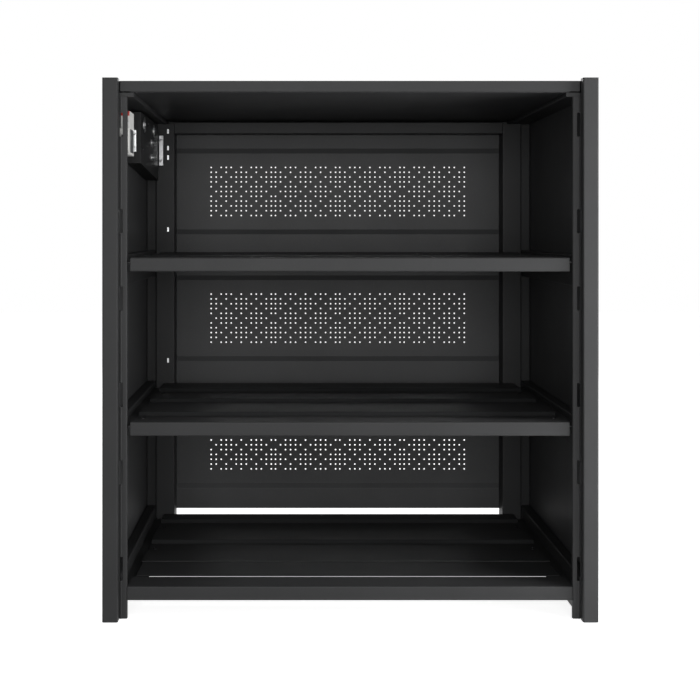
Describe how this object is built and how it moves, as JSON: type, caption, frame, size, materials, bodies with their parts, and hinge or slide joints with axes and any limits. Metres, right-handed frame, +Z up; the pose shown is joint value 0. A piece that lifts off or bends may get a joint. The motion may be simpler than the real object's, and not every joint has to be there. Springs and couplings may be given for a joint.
{
  "type": "battery cabinet",
  "caption": "Open-front free-standing cabinet of black sheet steel with a floor tray, two ribbed shelves, a perforated back and a small breaker and terminal group.",
  "frame": {"origin": "on the ground, in the middle of the overall width and depth", "axes": "+Z up, -Y out of the open front, +X to the right seen from the front"},
  "size_m": [0.95, 0.65, 1.044],
  "materials": {
    "black_powder_coat": "satin fine-textured powder coat",
    "zinc_plated_steel": "bright zinc plate",
    "black_screw": "black oxide",
    "white_plastic": "moulded satin",
    "black_plastic": "moulded satin",
    "grey_plastic": "moulded satin",
    "red_plastic": "moulded satin",
    "brass": "plated, slightly dull",
    "aluminium": "extruded, bare"
  },
  "bodies": {
    "frame": {"left_column": "black_powder_coat", "right_column": "black_powder_coat", "column_caps": "black_powder_coat", "left_front_post": "black_powder_coat", "right_front_post": "black_powder_coat", "left_rear_post": "black_powder_coat", "right_rear_post": "black_powder_coat", "left_side_panel": "black_powder_coat", "right_side_panel": "black_powder_coat", "left_upper_rail": "black_powder_coat", "right_upper_rail": "black_powder_coat", "rear_top_beam": "black_powder_coat", "rear_bottom_beam": "black_powder_coat", "ceiling_panel": "black_powder_coat", "top_panel": "black_powder_coat", "back_panel": "black_powder_coat", "floor_front_beam": "black_powder_coat", "floor_front_plate": "black_powder_coat", "floor_tray": "black_powder_coat", "lower_shelf": "black_powder_coat", "upper_shelf": "black_powder_coat", "left_floor_rail": "black_powder_coat", "left_lower_shelf_rail": "black_powder_coat", "left_upper_shelf_rail": "black_powder_coat", "right_floor_rail": "black_powder_coat", "right_lower_shelf_rail": "black_powder_coat", "right_upper_shelf_rail": "black_powder_coat", "side_panel_screws": "black_screw", "top_panel_screws": "black_screw", "back_panel_screws": "black_screw", "rail_bolts": "black_screw", "tray_screws": "black_screw", "foot_plates": "zinc_plated_steel", "foot_lock_nuts": "zinc_plated_steel", "breaker_bracket": "zinc_plated_steel", "bracket_screws": "zinc_plated_steel", "din_rail": "zinc_plated_steel", "breaker_case": "white_plastic", "breaker_terminal_screws": "zinc_plated_steel", "breaker_marker_strip": "red_plastic", "breaker_side_insert": "grey_plastic", "terminal_plate": "black_powder_coat", "plate_spacers": "zinc_plated_steel", "plate_screws": "black_screw", "large_grommet": "zinc_plated_steel", "small_grommet": "zinc_plated_steel", "stud_insulators": "grey_plastic", "terminal_studs": "brass", "stud_washers": "zinc_plated_steel", "stud_nuts": "zinc_plated_steel", "earth_bar": "aluminium", "earth_bar_screws": "zinc_plated_steel", "cable_clips": "zinc_plated_steel"},
    "toggle": {"breaker_toggle": "black_plastic"},
    "left_front_foot": {"left_front_foot": "zinc_plated_steel"},
    "right_front_foot": {"right_front_foot": "zinc_plated_steel"},
    "left_rear_foot": {"left_rear_foot": "zinc_plated_steel"},
    "right_rear_foot": {"right_rear_foot": "zinc_plated_steel"}
  },
  "joints": [
    {"name": "breaker_toggle_tilt", "type": "hinge", "parent": "frame", "child": "toggle", "pos_m": [-0.4426, -0.249, 0.93], "axis": [1, 0, 0], "range_deg": [0, 60]},
    {"name": "left_front_foot_level", "type": "slide", "parent": "frame", "child": "left_front_foot", "axis": [0, 0, -1], "range_m": [0, 0.015]},
    {"name": "right_front_foot_level", "type": "slide", "parent": "frame", "child": "right_front_foot", "axis": [0, 0, -1], "range_m": [0, 0.015]},
    {"name": "left_rear_foot_level", "type": "slide", "parent": "frame", "child": "left_rear_foot", "axis": [0, 0, -1], "range_m": [0, 0.015]},
    {"name": "right_rear_foot_level", "type": "slide", "parent": "frame", "child": "right_rear_foot", "axis": [0, 0, -1], "range_m": [0, 0.015]}
  ]
}
